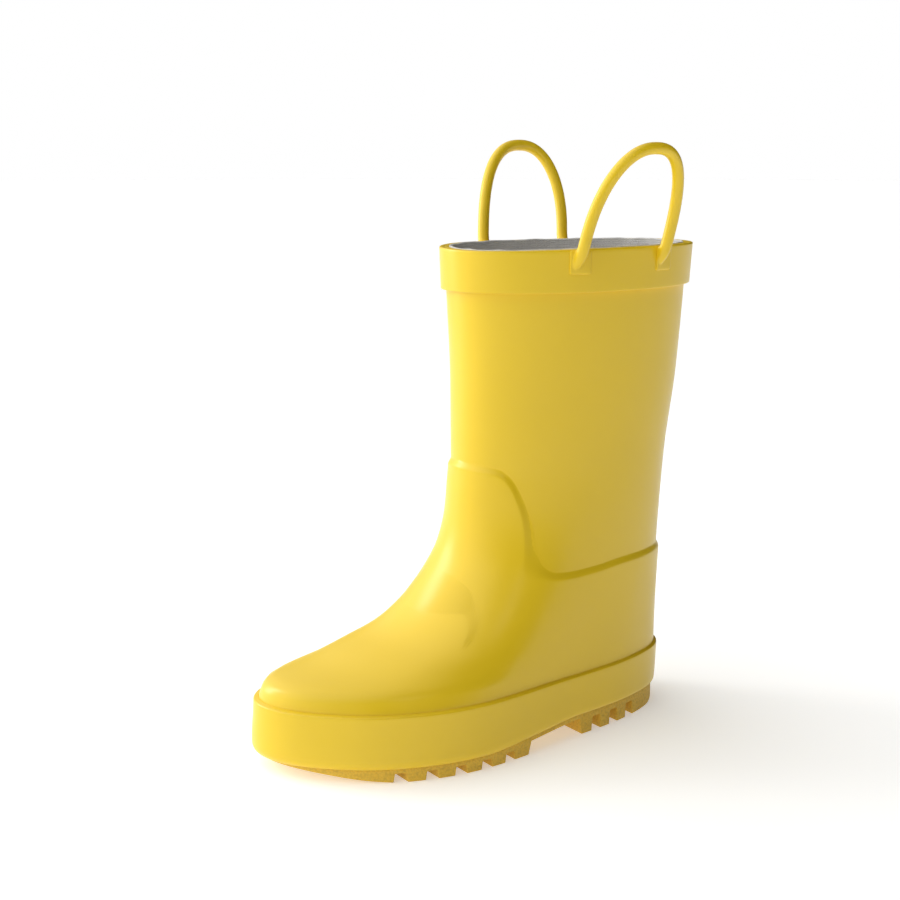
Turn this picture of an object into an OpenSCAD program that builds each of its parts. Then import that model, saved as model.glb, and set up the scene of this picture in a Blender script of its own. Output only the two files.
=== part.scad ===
// Child's pull-on rain boot, left foot. Millimetres, +Z up, toe towards -Y, outer side towards +X.
// The origin is on the floor, under the middle of the boot's box.

/* [Foot] */
// Length of the foot part of the rubber upper, toe to heel
foot_len = 185; // [181:1:188]
// Width of the upper over the ball of the foot
ball_width = 74; // [71:0.5:77]
// Distance of the foot's middle in front of the origin
foot_ahead = 6.2; // [5:0.1:7]
// Height at which the instep has turned into the leg
instep_top = 112; // [108:1:118]

/* [Leg] */
// Height of the rim above the floor
rim_height = 204; // [198:1:214]
// Width of the leg at the rim, without the collar
rim_width = 69; // [66:0.5:72]
// Height of the collar band
collar_height = 17; // [12:1:22]
// How far the collar band stands proud of the leg
collar_proud = 2.2; // [1.6:0.1:2.6]

/* [Walls] */
// Thickness of the rubber upper
shell_wall = 1.8; // [1.4:0.1:2]
// Thickness of the knitted lining
lining_wall = 1.2; // [0.8:0.1:1.4]
// Thickness of the raised galosh overlay
galosh_wall = 1; // [0.8:0.1:1.2]
// Highest point of the galosh, at the front of the ankle
galosh_front = 118; // [112:1:122]
// Height of the galosh edge at the heel
galosh_rear = 73; // [70:1:78]

/* [Sole] */
// Height of the foxing band's top edge
foxing_top = 28; // [26:1:30]
// Height of the foxing band's lower edge over the forefoot
foxing_low = 6; // [5:0.5:7]
// Thickness of the foxing band
foxing_wall = 2; // [1.6:0.1:2.6]
// Width of the grooves across the tread
groove_width = 5.4; // [4:0.2:6]
// Distance from one forefoot lug to the next
lug_pitch = 12; // [11:0.5:13]
// Distance from one heel lug to the next
heel_pitch = 11; // [10:0.5:12]

/* [Handles] */
// Diameter of a handle's rubber cord
cord_d = 4.8; // [4:0.2:5.2]
// Distance between the two legs of a handle
handle_span = 42.6; // [38:0.2:46]
// Height of a handle's top above the rim
handle_rise = 43; // [38:0.5:46]
// Outward lean of a handle, in degrees
handle_lean = 15.5; // [8:0.5:18]
// Lean of a handle towards the heel, in degrees
handle_rake = 7.5; // [0:0.5:9]
// How far the inner handle sits behind the outer one
inner_setback = 3.5; // [0:0.5:5]

/* [Hidden] */

yellow = "#F2D53C";
tread_yellow = "#E9C93A";
knit_white = "#E8E5E0";

around = 56;              // facets round every lofted wall
layer_gap = 0.15;         // air between two layers of the wall
stiffener_wall = 0.7;     // toe puff, heel counter and ankle reinforcement
board_z = 11.6;           // underside of the insole board
board_thick = 1.6;
foam_thick = 4;
cover_thick = 0.8;
heel_low = 10;            // lower edge of the foxing over the heel
lining_rim = rim_height - 0.6;
lining_join = 96;         // height at which the leg lining meets the foot lining
counter_top = 70;
puff_top = 42;
far = 200;                // more than any size of the boot

// Offsets outward from the shell's outer surface
lining_out = -shell_wall - stiffener_wall - 2 * layer_gap;
lining_in = lining_out - lining_wall;
galosh_in = 2 * layer_gap;
galosh_out = galosh_in + galosh_wall;
foxing_in = galosh_out + layer_gap;

// ---- Curves ----

// Smooth curve through the points of a table [[x, y], ...] that never overshoots them
function secant(t, i) = (t[i + 1][1] - t[i][1]) / (t[i + 1][0] - t[i][0]);
function mean_slope(a, b) = a * b <= 0 ? 0 : 2 * a * b / (a + b);
function slope(t, i) =
    i == 0 ? secant(t, 0) :
    i == len(t) - 1 ? secant(t, i - 1) :
    mean_slope(secant(t, i - 1), secant(t, i));
function smooth(t, x) =
    let (k = max([0, for (i = [0:len(t) - 2]) if (t[i][0] <= x) i]),
         w = t[k + 1][0] - t[k][0],
         u = min(1, max(0, (x - t[k][0]) / w)),
         a = (2 * u * u * u - 3 * u * u + 1) * t[k][1] + (u * u * u - 2 * u * u + u) * w * slope(t, k),
         b = (3 * u * u - 2 * u * u * u) * t[k + 1][1] + (u * u * u - u * u) * w * slope(t, k + 1))
    a + b;

function clamp(x, low, high) = min(high, max(low, x));
function power(x, e) = sign(x) * pow(abs(x), e);
function hundredth(x) = round(x * 100) / 100;

// Closed curve through points, in steps of a spline
function spline_point(p, i, t) =
    let (n = len(p), a = p[(i + n - 1) % n], b = p[i], c = p[(i + 1) % n], d = p[(i + 2) % n])
    0.5 * (2 * b + (c - a) * t + (2 * a - 5 * b + 4 * c - d) * t * t + (3 * b - a - 3 * c + d) * t * t * t);
function spline(p, steps) = [for (i = [0:len(p) - 1], s = [0:steps - 1]) spline_point(p, i, s / steps)];

// ---- Outline of the foot, as parts of half its width and half its length, from the outer ball
// round the heel, the inner side and the toe ----
foot_points = [[1.08, -0.28], [0.93, 0.24], [0.76, 0.65], [0.45, 0.92], [-0.04, 1], [-0.53, 0.92],
               [-0.79, 0.65], [-0.78, 0.22], [-0.88, -0.22], [-0.86, -0.62], [-0.68, -0.88],
               [-0.30, -1], [0.24, -0.93], [0.82, -0.66]];
foot_curve = spline(foot_points, 10);
function turn(a) = a < 0 ? a + 360 : a;
foot_turns = [for (p = foot_curve) turn(atan2(p.y, p.x))];
function wrapped(k) =
    let (n = len(foot_curve), first = [for (i = [0:n - 1]) if (foot_turns[i] == min(foot_turns)) i][0])
    concat([[foot_turns[(first + n - 1) % n] - 360, foot_curve[(first + n - 1) % n][k]]],
           [for (i = [0:n - 1]) [foot_turns[(first + i) % n], foot_curve[(first + i) % n][k]]],
           [[foot_turns[first] + 360, foot_curve[first][k]]]);
foot_x = wrapped(0);
foot_y = wrapped(1);
function foot_at(a) =
    [lookup(a, foot_x) * ball_width / 2, lookup(a, foot_y) * foot_len / 2 - foot_ahead];

// ---- Leg: front, rear and half width by height, as parts of the height above the foxing ----
leg_front = [[0, -8], [0.24, -9], [0.47, -12], [0.69, -12], [0.9, -13.5], [1, -14.2]];
leg_rear = [[0, 86.7], [0.24, 88.9], [0.47, 91], [0.69, 96.4], [0.9, 99.4], [1, 100.9]];
leg_half = [[0, 0.86], [0.24, 0.86], [0.47, 0.89], [0.69, 0.94], [0.9, 0.99], [1, 1]];
leg_round = 2.1;          // 2 is an ellipse, more is squarer
function leg_at(a, z) =
    let (u = clamp((z - foxing_top) / (rim_height - foxing_top), 0, 1),
         front = smooth(leg_front, u), rear = smooth(leg_rear, u), e = 2 / leg_round)
    [smooth(leg_half, u) * rim_width / 2 * power(cos(a), e),
     (front + rear) / 2 + (rear - front) / 2 * power(sin(a), e)];

// How far the foot's outline has closed in to the leg's, by height: over the toes and at the sides
vamp_close = [[0, 0], [0.06, 0.02], [0.12, 0.25], [0.17, 0.41], [0.21, 0.54], [0.26, 0.64],
              [0.36, 0.76], [0.48, 0.85], [0.62, 0.925], [0.8, 0.975], [1, 1]];
toe_blend = 0.2;          // how softly the toe's way of closing gives over to the sides'
function toe_share(s) = (s + sqrt(s * s + toe_blend * toe_blend)) / (1 + sqrt(1 + toe_blend * toe_blend));
function closing(a, z) =
    let (u = clamp((z - foxing_top) / (instep_top - foxing_top), 0, 1), toe = toe_share(-sin(a)))
    toe * smooth(vamp_close, u) + (1 - toe) * (1 - pow(1 - u, 1.6));

// Point of the shell's outer surface in direction a (0 outer side, 90 heel, 270 toe) at height z
function skin(a, z) =
    let (m = closing(a, z), p = foot_at(a) * (1 - m) + leg_at(a, z) * m)
    [p.x, p.y, z];
function skin_normal(a, z) =
    let (n = cross(skin(a + 2, z) - skin(a - 2, z), skin(a, z + 0.8) - skin(a, z - 0.8)))
    n / norm(n);
// The same point moved outward by t; near the floor and the rim it moves level
function wall_at(a, z, t) =
    let (n = skin_normal(a, z), level = z <= foxing_top || z >= rim_height - collar_height,
         f = norm([n.x, n.y]))
    skin(a, z) + t * (level ? [n.x / f, n.y / f, 0] : n);

// ---- Lofted solids ----

// Closed wall from rows of points, each row once round the boot; the last row meets the first
module ring_solid(rows) {
    n = len(rows[0]);
    m = len(rows);
    faces = [for (j = [0:m - 1], i = [0:n - 1])
                 let (a = j * n + i, b = j * n + (i + 1) % n,
                      c = ((j + 1) % m) * n + (i + 1) % n, d = ((j + 1) % m) * n + i)
                 each [[a, c, b], [a, d, c]]];
    polyhedron([for (r = rows) each r], faces, convexity = 6);
}

function facet(i) = (i + 0.5) * 360 / around;
directions = [for (i = [0:around - 1]) facet(i)];

// Wall between two offsets, through the heights of a list
function wall_row(z, t) = [for (a = directions) wall_at(a, z, t)];
module wall(heights, t_in, t_out)
    ring_solid(concat([for (z = heights) wall_row(z, t_out)],
                      [for (i = [len(heights) - 1:-1:0]) wall_row(heights[i], t_in)]));

// Heights for a wall: close together over the toes, wide apart up the leg
vamp_heights = [for (u = [0, 0.03, 0.06, 0.09, 0.12, 0.16, 0.2, 0.26, 0.33, 0.4, 0.48, 0.56, 0.64, 0.72])
                foxing_top + u * (instep_top - foxing_top)];
leg_heights = [for (k = [0:6]) lining_join + k * (rim_height - collar_height - lining_join) / 6];

// Patch of wall over the facets from first to last and through the heights of a list, closed at its edges
module patch(first, last, heights, t_in, t_out) {
    m = len(heights);
    n = last - first + 1;
    function at(i, j, t) = wall_at(facet(first + i), heights[j], t);
    outer = [for (j = [0:m - 1], i = [0:n - 1]) at(i, j, t_out)];
    inner = [for (j = [0:m - 1], i = [0:n - 1]) at(i, j, t_in)];
    k = m * n;
    skins = [for (j = [0:m - 2], i = [0:n - 2]) let (a = j * n + i, b = a + 1, c = b + n, d = a + n)
             each [[a, c, b], [a, d, c], [k + a, k + b, k + c], [k + a, k + c, k + d]]];
    ends = [for (i = [0:n - 2]) let (b = (m - 1) * n + i)
            each [[i, i + 1, k + i + 1], [i, k + i + 1, k + i],
                  [b, k + b + 1, b + 1], [b, k + b, k + b + 1]]];
    sides = [for (j = [0:m - 2]) let (a = j * n, b = a + n, c = a + n - 1, d = c + n)
             each [[a, k + b, b], [a, k + a, k + b], [c, d, k + d], [c, k + d, k + c]]];
    polyhedron(concat(outer, inner), concat(skins, ends, sides), convexity = 6);
}

// Flat outline of the foot, moved outward by t
function outline(t) = [for (a = directions) let (p = wall_at(a, foxing_top - 2, t)) [p.x, p.y]];
module slab(t, z0, z1)
    translate([0, 0, z0]) linear_extrude(z1 - z0) polygon(outline(t));

// ---- Upper ----
module leg_shell()
    color(yellow) wall(concat([board_z], vamp_heights, leg_heights, [rim_height]), -shell_wall, 0);

// Edge of the galosh: an arch over the ankle that drops at the side and runs level to the heel
galosh_edge = [[0, 1], [20, 0.98], [33, 0.95], [39.5, 0.89], [46, 0.76], [54, 0.53], [62.5, 0.24],
               [70, 0.07], [78, 0], [86, -0.01], [100, 0], [115, 0.02], [180, 0.02]];
function from_toe(a) = let (away = abs(turn(a) - 270)) min(away, 360 - away);
function galosh_top(a) = galosh_rear + (galosh_front - galosh_rear) * smooth(galosh_edge, from_toe(a));
galosh_steps = [-0.15, 0, 0.03, 0.055, 0.08, 0.11, 0.15, 0.19, 0.24,
                0.3, 0.37, 0.45, 0.54, 0.64, 0.76, 0.88, 1];
function galosh_point(a, s, t) =
    let (z = foxing_top + s * (galosh_top(a) - foxing_top)) wall_at(a, z, t);
module galosh()
    color(yellow)
    ring_solid(concat([for (s = galosh_steps) [for (a = directions) galosh_point(a, s, galosh_out)]],
                      [for (i = [len(galosh_steps) - 1:-1:0])
                       [for (a = directions) galosh_point(a, galosh_steps[i], galosh_in)]]));

module collar_band()
    color(yellow)
    wall([rim_height - collar_height, rim_height - collar_height + 1, rim_height - 1, rim_height],
         layer_gap, collar_proud);

// ---- Linings and stiffeners ----
module leg_lining()
    color(knit_white)
    wall(concat(leg_heights, [lining_rim]), -shell_wall - layer_gap - lining_wall, -shell_wall - layer_gap);
module foot_lining()
    color(knit_white)
    wall(concat([board_z + board_thick + layer_gap], vamp_heights, [lining_join - layer_gap]),
         lining_in, lining_out);

module stiffener(first, last, heights)
    color("tan")
    patch(first, last, heights, -shell_wall - layer_gap - stiffener_wall, -shell_wall - layer_gap);
stiff_heights = concat([board_z + board_thick], vamp_heights);
module toe_puff() stiffener(35, 48, [for (z = stiff_heights) if (z <= puff_top) z]);
module heel_counter() stiffener(5, 22, [for (z = stiff_heights) if (z <= counter_top) z]);
module ankle_reinforcement() stiffener(9, 18, [for (z = vamp_heights) if (z > counter_top + 1) z]);

// ---- Sole ----
sole_out = foxing_in + 0.4;     // the tread sits in from the foxing
heel_out = sole_out - 1.4;      // and its heel a little more
step_front = -23;               // the foxing's lower edge steps up from here
step_rear = 22;                 // to here
toe_end = -foot_len / 2 - foot_ahead;
heel_end = foot_len / 2 - foot_ahead + heel_out;
function foxing_floor(y) =
    foxing_low + (heel_low - foxing_low) * clamp((y - step_front) / (step_rear - step_front), 0, 1);

// Thickness of the foxing from its lower edge up, as parts of foxing_wall: it swells low down at the
// toe and draws in at the heel
foxing_toe = [[0, 0.7], [0.05, 1.2], [0.16, 1.52], [0.4, 1.45], [0.75, 1.15], [1, 1]];
foxing_heel = [[0, 0.15], [0.05, 0.3], [0.16, 0.42], [0.4, 0.6], [0.75, 0.85], [1, 1]];
foxing_shares = [0, 0.05, 0.16, 0.4, 0.7, 1];
bead_height = 1.9;
foxing_band_top = foxing_top - bead_height - 0.1;
function foxing_thick(y, u) =
    let (heel = clamp((y - toe_end) / foot_len, 0, 1))
    foxing_wall * ((1 - heel) * smooth(foxing_toe, u) + heel * smooth(foxing_heel, u));
function foxing_point(a, u, outer) =
    let (y = wall_at(a, foxing_band_top, foxing_in).y,
         low = foxing_floor(y),
         p = wall_at(a, foxing_band_top, foxing_in + (outer ? foxing_thick(y, u) : 0)))
    [p.x, p.y, low + u * (foxing_band_top - low)];
module foxing()
    color(yellow)
    ring_solid(concat([for (u = foxing_shares) [for (a = directions) foxing_point(a, u, true)]],
                      [for (u = [1, 0]) [for (a = directions) foxing_point(a, u, false)]]));
module foxing_bead() {
    low = foxing_top - bead_height;
    color(yellow)
    wall([low, low + 0.5, foxing_top - 0.6, foxing_top], foxing_in, foxing_in + foxing_wall);
}

groove_first = -62.5;     // middle of the groove nearest the toe
grooves = 5;
heel_grooves = 3;
arch_front = -3.5;        // the open arch between the forefoot tread and the heel
arch_rear = 26.5;
arch_plate = 2;           // thickness of the sole's plate over the arch
shank_rib = [-16, 2];     // rib that runs along under the arch, from inner to outer side
shank_rib_z = 1.5;        // its underside
heel_groove_first = arch_rear + 10;
groove_top = 4;
heel_groove_top = 6.5;
// Side view of the tread's turned-up toe, and of the heel's rounded rear edge
toe_spring = [[-64, 0], [-75, 0.8], [-88, 2.4], [-97, 4], [-104, 5.2]];
heel_round = [[heel_end - 10, 0], [heel_end - 5, 1.2], [heel_end - 1.5, 3.8], [heel_end, 7.5]];

// Bar right across the sole, from a side view drawn as [y, z] points
module across(points)
    translate([-far / 2, 0, 0]) rotate([90, 0, 90]) linear_extrude(far) polygon(points);
module groove(y, top, splay) {
    half = groove_width / 2;
    across([[y - half - splay, -1], [y + half + splay, -1],
            [y + half - splay, top], [y - half + splay, top]]);
}
// The line of the foxing's lower edge, with a drop below it
function floor_line(drop) =
    [[-far, foxing_low - drop], [step_front, foxing_low - drop], [step_rear, heel_low - drop],
     [far, heel_low - drop]];
module outsole()
    color(tread_yellow)
    difference() {
        slab(sole_out, 0, heel_low);
        across(concat(floor_line(layer_gap), [[far, far], [-far, far]]));
        for (i = [0:grooves - 1]) groove(groove_first + i * lug_pitch, groove_top, 0.4);
        difference() {
            across([[arch_front, -1], [far, -1], [far, heel_low - arch_plate],
                    [step_rear, heel_low - arch_plate], [arch_front, foxing_floor(arch_front) - arch_plate]]);
            translate([shank_rib[0], arch_front - 1, shank_rib_z])
                cube([shank_rib[1] - shank_rib[0], far, heel_low]);
        }
        across([[arch_rear - layer_gap, 0], [far, 0], [far, far], [arch_rear - layer_gap, far]]);
        across(concat([[toe_spring[0].x, -1]], toe_spring, [[-far, toe_spring[4].y], [-far, -1]]));
    }
module heel_block()
    color(tread_yellow)
    difference() {
        slab(heel_out, 0, heel_low - layer_gap);
        across([[arch_rear, -1], [-far, -1], [-far, far], [arch_rear, far]]);
        for (i = [0:heel_grooves - 1]) groove(heel_groove_first + i * heel_pitch, heel_groove_top, 0.3);
        across(concat([[heel_round[0].x, -1]], heel_round, [[far, heel_round[3].y], [far, -1]]));
    }
module insole_board()
    color("peru") slab(-shell_wall - layer_gap, board_z, board_z + board_thick - layer_gap);
module midsole_filler()
    color("dimgray")
    difference() {
        slab(foxing_in - layer_gap, foxing_low - 1, board_z - layer_gap);
        across(concat(floor_line(0), [[far, -1], [-far, -1]]));
    }

foam_z = board_z + board_thick;
foam_out = lining_in - 0.4;
module footbed_foam() color("lightgray") slab(foam_out, foam_z, foam_z + foam_thick);
module footbed_cover()
    color(knit_white) slab(foam_out, foam_z + foam_thick, foam_z + foam_thick + cover_thick);

// ---- Handles ----
leg_mid = (leg_front[5][1] + leg_rear[5][1]) / 2;
hinge_over = 2;           // the hinge line runs this far above the rim
hinge_z = rim_height + hinge_over;
hinge_x = rim_width / 2 + collar_proud + 1.1;
anchor_top = hinge_z - cord_d / 2 - 0.9;
anchor_size = [9, 8.5];   // length along the rim and height
anchor_reach = 6;         // from the stub's middle in to the collar
root_end = 1;             // how far a loop's legs run on past the hinge line
rim_facets = 96;
function handle_mid(side) = leg_mid + (side < 0 ? inner_setback : 0);

// One pull loop: two legs and a half round, raked to the heel; it turns about the hinge line
module handle(side) {
    bend = hundredth(handle_span / 2 * cos(handle_rake));
    drop = hundredth(handle_span / 2 * sin(handle_rake));
    straight = handle_rise - hinge_over - cord_d / 2 - bend;
    translate([side * hinge_x, handle_mid(side), hinge_z])
    rotate([0, side * handle_lean, 0]) rotate([-handle_rake, 0, 0]) {
        for (s = [-1, 1]) translate([0, s * bend, s * drop - root_end])
            cylinder(d = cord_d, h = straight - s * drop + root_end, $fn = 32);
        translate([0, 0, straight]) rotate([90, 0, 90])
        rotate_extrude(angle = 180, $fn = 64) translate([bend, 0]) circle(d = cord_d, $fn = 32);
    }
}
module outer_handle() color(yellow) handle(1);
module inner_handle() color(yellow) handle(-1);

// Rubber patch and stub under one root of a loop, against the collar
module anchor(side, end) {
    y = handle_mid(side) + end * handle_span / 2;
    low = anchor_top - anchor_size.y;
    difference() {
        union() {
            translate([side * hinge_x, y, low]) cylinder(d = cord_d, h = anchor_size.y, $fn = 32);
            translate([side * (hinge_x - anchor_reach / 2), y, low + anchor_size.y / 2])
                cube([anchor_reach, anchor_size.x, anchor_size.y], center = true);
        }
        clear_of_collar();
    }
}
module clear_of_collar() {
    step = 360 / rim_facets;
    translate([0, 0, rim_height - 2 * collar_height])
    linear_extrude(3 * collar_height)
    polygon([for (i = [0:rim_facets - 1])
                 let (p = wall_at(i * step, rim_height, collar_proud + layer_gap)) [p.x, p.y]]);
}
module outer_front_anchor() color(yellow) anchor(1, -1);
module outer_rear_anchor() color(yellow) anchor(1, 1);
module inner_front_anchor() color(yellow) anchor(-1, -1);
module inner_rear_anchor() color(yellow) anchor(-1, 1);

leg_shell();
collar_band();
galosh();
foxing();
foxing_bead();
outsole();
heel_block();
outer_front_anchor();
outer_rear_anchor();
inner_front_anchor();
inner_rear_anchor();
outer_handle();
inner_handle();
leg_lining();
foot_lining();
toe_puff();
heel_counter();
ankle_reinforcement();
insole_board();
midsole_filler();
footbed_foam();
footbed_cover();
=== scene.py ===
import math
from bisect import bisect_right

import bmesh
import bpy
from bpy.props import FloatProperty, FloatVectorProperty, PointerProperty
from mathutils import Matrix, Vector


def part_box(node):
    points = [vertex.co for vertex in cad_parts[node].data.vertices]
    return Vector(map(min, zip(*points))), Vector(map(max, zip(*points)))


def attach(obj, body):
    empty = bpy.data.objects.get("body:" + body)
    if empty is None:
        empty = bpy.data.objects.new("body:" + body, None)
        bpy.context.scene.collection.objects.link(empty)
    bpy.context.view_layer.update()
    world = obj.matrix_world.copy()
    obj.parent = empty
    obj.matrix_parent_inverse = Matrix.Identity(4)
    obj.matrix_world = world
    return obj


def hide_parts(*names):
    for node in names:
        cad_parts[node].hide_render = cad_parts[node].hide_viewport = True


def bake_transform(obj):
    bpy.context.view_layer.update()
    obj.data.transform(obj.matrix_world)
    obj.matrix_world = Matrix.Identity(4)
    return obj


bl_info = {
    "name": "Child's Rain Boot",
    "version": (1, 0, 0),
    "blender": (4, 5, 0),
    "location": "3D View > Sidebar > Rain Boot",
    "description": "Skins a packed rain boot in rubber, knit and foam, and sets a soft studio round it",
    "category": "Object",
}

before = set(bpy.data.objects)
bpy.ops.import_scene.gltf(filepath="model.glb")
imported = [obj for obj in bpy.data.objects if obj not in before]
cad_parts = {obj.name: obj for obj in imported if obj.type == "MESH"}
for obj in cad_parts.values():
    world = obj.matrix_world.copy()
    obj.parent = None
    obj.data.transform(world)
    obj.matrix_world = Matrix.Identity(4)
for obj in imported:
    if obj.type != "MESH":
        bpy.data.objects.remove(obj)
SHELL_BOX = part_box("leg_shell")
COLLAR_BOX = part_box("collar_band")
FOXING_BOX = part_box("foxing")
BEAD_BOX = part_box("foxing_bead")
GALOSH_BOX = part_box("galosh")
BOARD_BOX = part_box("insole_board")
FOAM_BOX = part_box("footbed_foam")
COVER_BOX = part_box("footbed_cover")

MM = 0.001
AROUND = 192            # points round every lofted piece
ROOT = "root"


# ---- Sizes and colours that a user would change ----

def linear(code):
    """Linear RGBA of a colour given as sRGB hex."""
    parts = [int(code[i:i + 2], 16) / 255 for i in (1, 3, 5)]
    return tuple(c / 12.92 if c <= 0.04045 else ((c + 0.055) / 1.055) ** 2.4 for c in parts) + (1.0,)


def length(name, description, default):
    return FloatProperty(name=name, description=description, default=default, min=0.0, precision=5,
                         subtype="DISTANCE", unit="LENGTH")


def angle(name, description, degrees):
    return FloatProperty(name=name, description=description, default=math.radians(degrees),
                         subtype="ANGLE", unit="ROTATION")


def colour(name, description, code):
    return FloatVectorProperty(name=name, description=description, default=linear(code), size=4,
                               min=0.0, max=1.0, subtype="COLOR")


class BootSizes(bpy.types.PropertyGroup):
    """Sizes that the boot's pieces are shaped from"""
    foot_len: length("Foot length", "Length of the foot part of the upper, toe to heel", 0.185)
    ball_width: length("Ball width", "Width of the upper over the ball of the foot", 0.074)
    foot_ahead: length("Foot ahead", "Distance of the foot's middle in front of the origin", 0.0062)
    instep_top: length("Instep top", "Height at which the instep has turned into the leg", 0.112)
    rim_height: length("Rim height", "Height of the rim above the floor", SHELL_BOX[1].z)
    rim_width: length("Rim width", "Width of the leg at the rim, without the collar", 0.069)
    collar_low: length("Collar edge", "Height of the collar band's lower edge", COLLAR_BOX[0].z)
    collar_proud: length("Collar proud", "How far the collar band stands out from the leg", 0.0022)
    shell_wall: length("Shell wall", "Thickness of the rubber upper", 0.0018)
    lining_wall: length("Lining wall", "Thickness of the knitted lining", 0.0012)
    galosh_wall: length("Galosh wall", "Thickness of the raised galosh overlay", 0.001)
    galosh_front: length("Galosh front", "Height of the galosh at the front of the ankle", GALOSH_BOX[1].z)
    galosh_rear: length("Galosh rear", "Height of the galosh edge at the heel", 0.073)
    foxing_top: length("Foxing top", "Height of the foxing's top edge", BEAD_BOX[1].z)
    foxing_low: length("Foxing low", "Height of the foxing's lower edge over the forefoot", FOXING_BOX[0].z)
    heel_low: length("Foxing low at the heel", "Height of the foxing's lower edge over the heel", 0.010)
    foxing_wall: length("Foxing wall", "Thickness of the foxing band at its top over the toe", 0.002)
    groove_width: length("Groove width", "Width of the grooves across the tread", 0.0054)
    lug_pitch: length("Lug pitch", "Distance from one forefoot lug to the next", 0.012)
    heel_pitch: length("Heel pitch", "Distance from one heel lug to the next", 0.011)
    cord_d: length("Loop thickness", "Diameter of a pull loop's rubber cord", 0.0048)
    loop_span: length("Loop span", "Distance between the two legs of a loop", 0.0426)
    loop_rise: length("Loop rise", "Height of a loop's top above the rim", 0.043)
    loop_lean: angle("Loop lean", "Outward lean of a loop", 15.5)
    loop_rake: angle("Loop rake", "Lean of a loop towards the heel", 7.5)
    inner_setback: length("Inner loop's setback", "How far the inner loop sits behind the outer one", 0.0035)


class BootColours(bpy.types.PropertyGroup):
    """Colours of the boot's materials"""
    rubber: colour("Upper rubber", "Satin varnished rubber of the upper", "#EFCB22")
    tread: colour("Tread rubber", "Moulded rubber of the sole", "#E8BE3A")
    knit: colour("Lining knit", "Undyed cotton knit of the lining", "#FBF9F5")
    cover: colour("Footbed cover", "Brushed fabric on the footbed", "#DEDAD2")
    foam: colour("Footbed foam", "Closed-cell foam of the footbed", "#C9CDD1")
    stiffener: colour("Stiffener", "Resin-stiffened felt of toe puff and counter", "#C7AD84")
    board: colour("Insole board", "Cellulose board under the foot", "#B58E5F")
    sponge: colour("Sponge rubber", "Filler between board and tread", "#4A4744")
    floor: colour("Floor", "Seamless studio paper", "#F6F6F5")


class StageSettings(bpy.types.PropertyGroup):
    """Where the camera stands and how bright the studio is"""
    azimuth: angle("Azimuth", "Direction that the camera looks from, turned from the toe to the outer side",
                   56.0)
    elevation: angle("Elevation", "Height of the camera above the horizon", 11.9)
    distance: length("Distance", "From the camera to the point that it looks at", 0.6466)
    aim_y: FloatProperty(name="Aim along the boot", default=-0.0045, subtype="DISTANCE", unit="LENGTH",
                         description="Place along the boot that the camera looks at")
    aim_z: length("Aim height", "Height that the camera looks at", 0.110)
    lens: FloatProperty(name="Lens", description="Focal length", default=62.25, subtype="DISTANCE_CAMERA")
    shift_x: FloatProperty(name="Shift across", description="Sideways shift of the camera's frame",
                           default=-0.0274)
    shift_y: FloatProperty(name="Shift up", description="Upward shift of the camera's frame", default=0.0287)
    key: FloatProperty(name="Key light", description="Power of the large softbox", default=4.4,
                       subtype="POWER", unit="POWER")
    fill: FloatProperty(name="Fill light", description="Power of the small softbox", default=0.45,
                        subtype="POWER", unit="POWER")
    dome_low: FloatProperty(name="Dome, dark side", default=0.02,
                            description="Brightness of the studio's dark side")
    dome_high: FloatProperty(name="Dome, lit side", default=1.75,
                             description="Brightness of the studio's lit side")


# ---- Curves ----

def curve(table):
    """A function that runs smoothly through a table's (x, y) points and never overshoots them."""
    xs, ys = zip(*table)
    steps = [(ys[i + 1] - ys[i]) / (xs[i + 1] - xs[i]) for i in range(len(xs) - 1)]
    inner = [0.0 if a * b <= 0 else 2 * a * b / (a + b) for a, b in zip(steps, steps[1:])]
    slopes = [steps[0], *inner, steps[-1]]

    def value(x):
        k = max(0, min(bisect_right(xs, x) - 1, len(xs) - 2))
        wide = xs[k + 1] - xs[k]
        u = min(1.0, max(0.0, (x - xs[k]) / wide))
        rise = 3 * u ** 2 - 2 * u ** 3
        start = (u ** 3 - 2 * u ** 2 + u) * wide * slopes[k]
        end = (u ** 3 - u ** 2) * wide * slopes[k + 1]
        return (1 - rise) * ys[k] + rise * ys[k + 1] + start + end

    return value


def clamp(x, low=0.0, high=1.0):
    return min(high, max(low, x))


def smoothstep(x):
    x = clamp(x)
    return x * x * (3 - 2 * x)


def power(x, exponent):
    return math.copysign(abs(x) ** exponent, x)


def mix(a, b, share):
    return a + (b - a) * share


def spaced(low, high, step):
    """Evenly spaced values from low to high, both included, about a step apart."""
    count = max(1, round((high - low) / step))
    return [mix(low, high, i / count) for i in range(count + 1)]


def closed_spline(points, steps):
    """Points along the smooth closed curve through a list of points."""
    made = []
    for i in range(len(points)):
        a, b, c, d = (points[(i + k) % len(points)] for k in (-1, 0, 1, 2))
        for j in range(steps):
            t = j / steps
            made.append([0.5 * (2 * q + (r - p) * t + (2 * p - 5 * q + 4 * r - s) * t * t
                                + (3 * q - p - 3 * r + s) * t ** 3) for p, q, r, s in zip(a, b, c, d)])
    return made


# ---- The boot's form ----

# Outline of the foot, as parts of half its width and half its length, from the outer ball round the
# heel, the inner side and the toe
FOOT = [(1.08, -0.28), (0.93, 0.24), (0.76, 0.65), (0.45, 0.92), (-0.04, 1.0), (-0.53, 0.92), (-0.79, 0.65),
        (-0.78, 0.22), (-0.88, -0.22), (-0.86, -0.62), (-0.68, -0.88), (-0.30, -1.0), (0.24, -0.93),
        (0.82, -0.66)]
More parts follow.
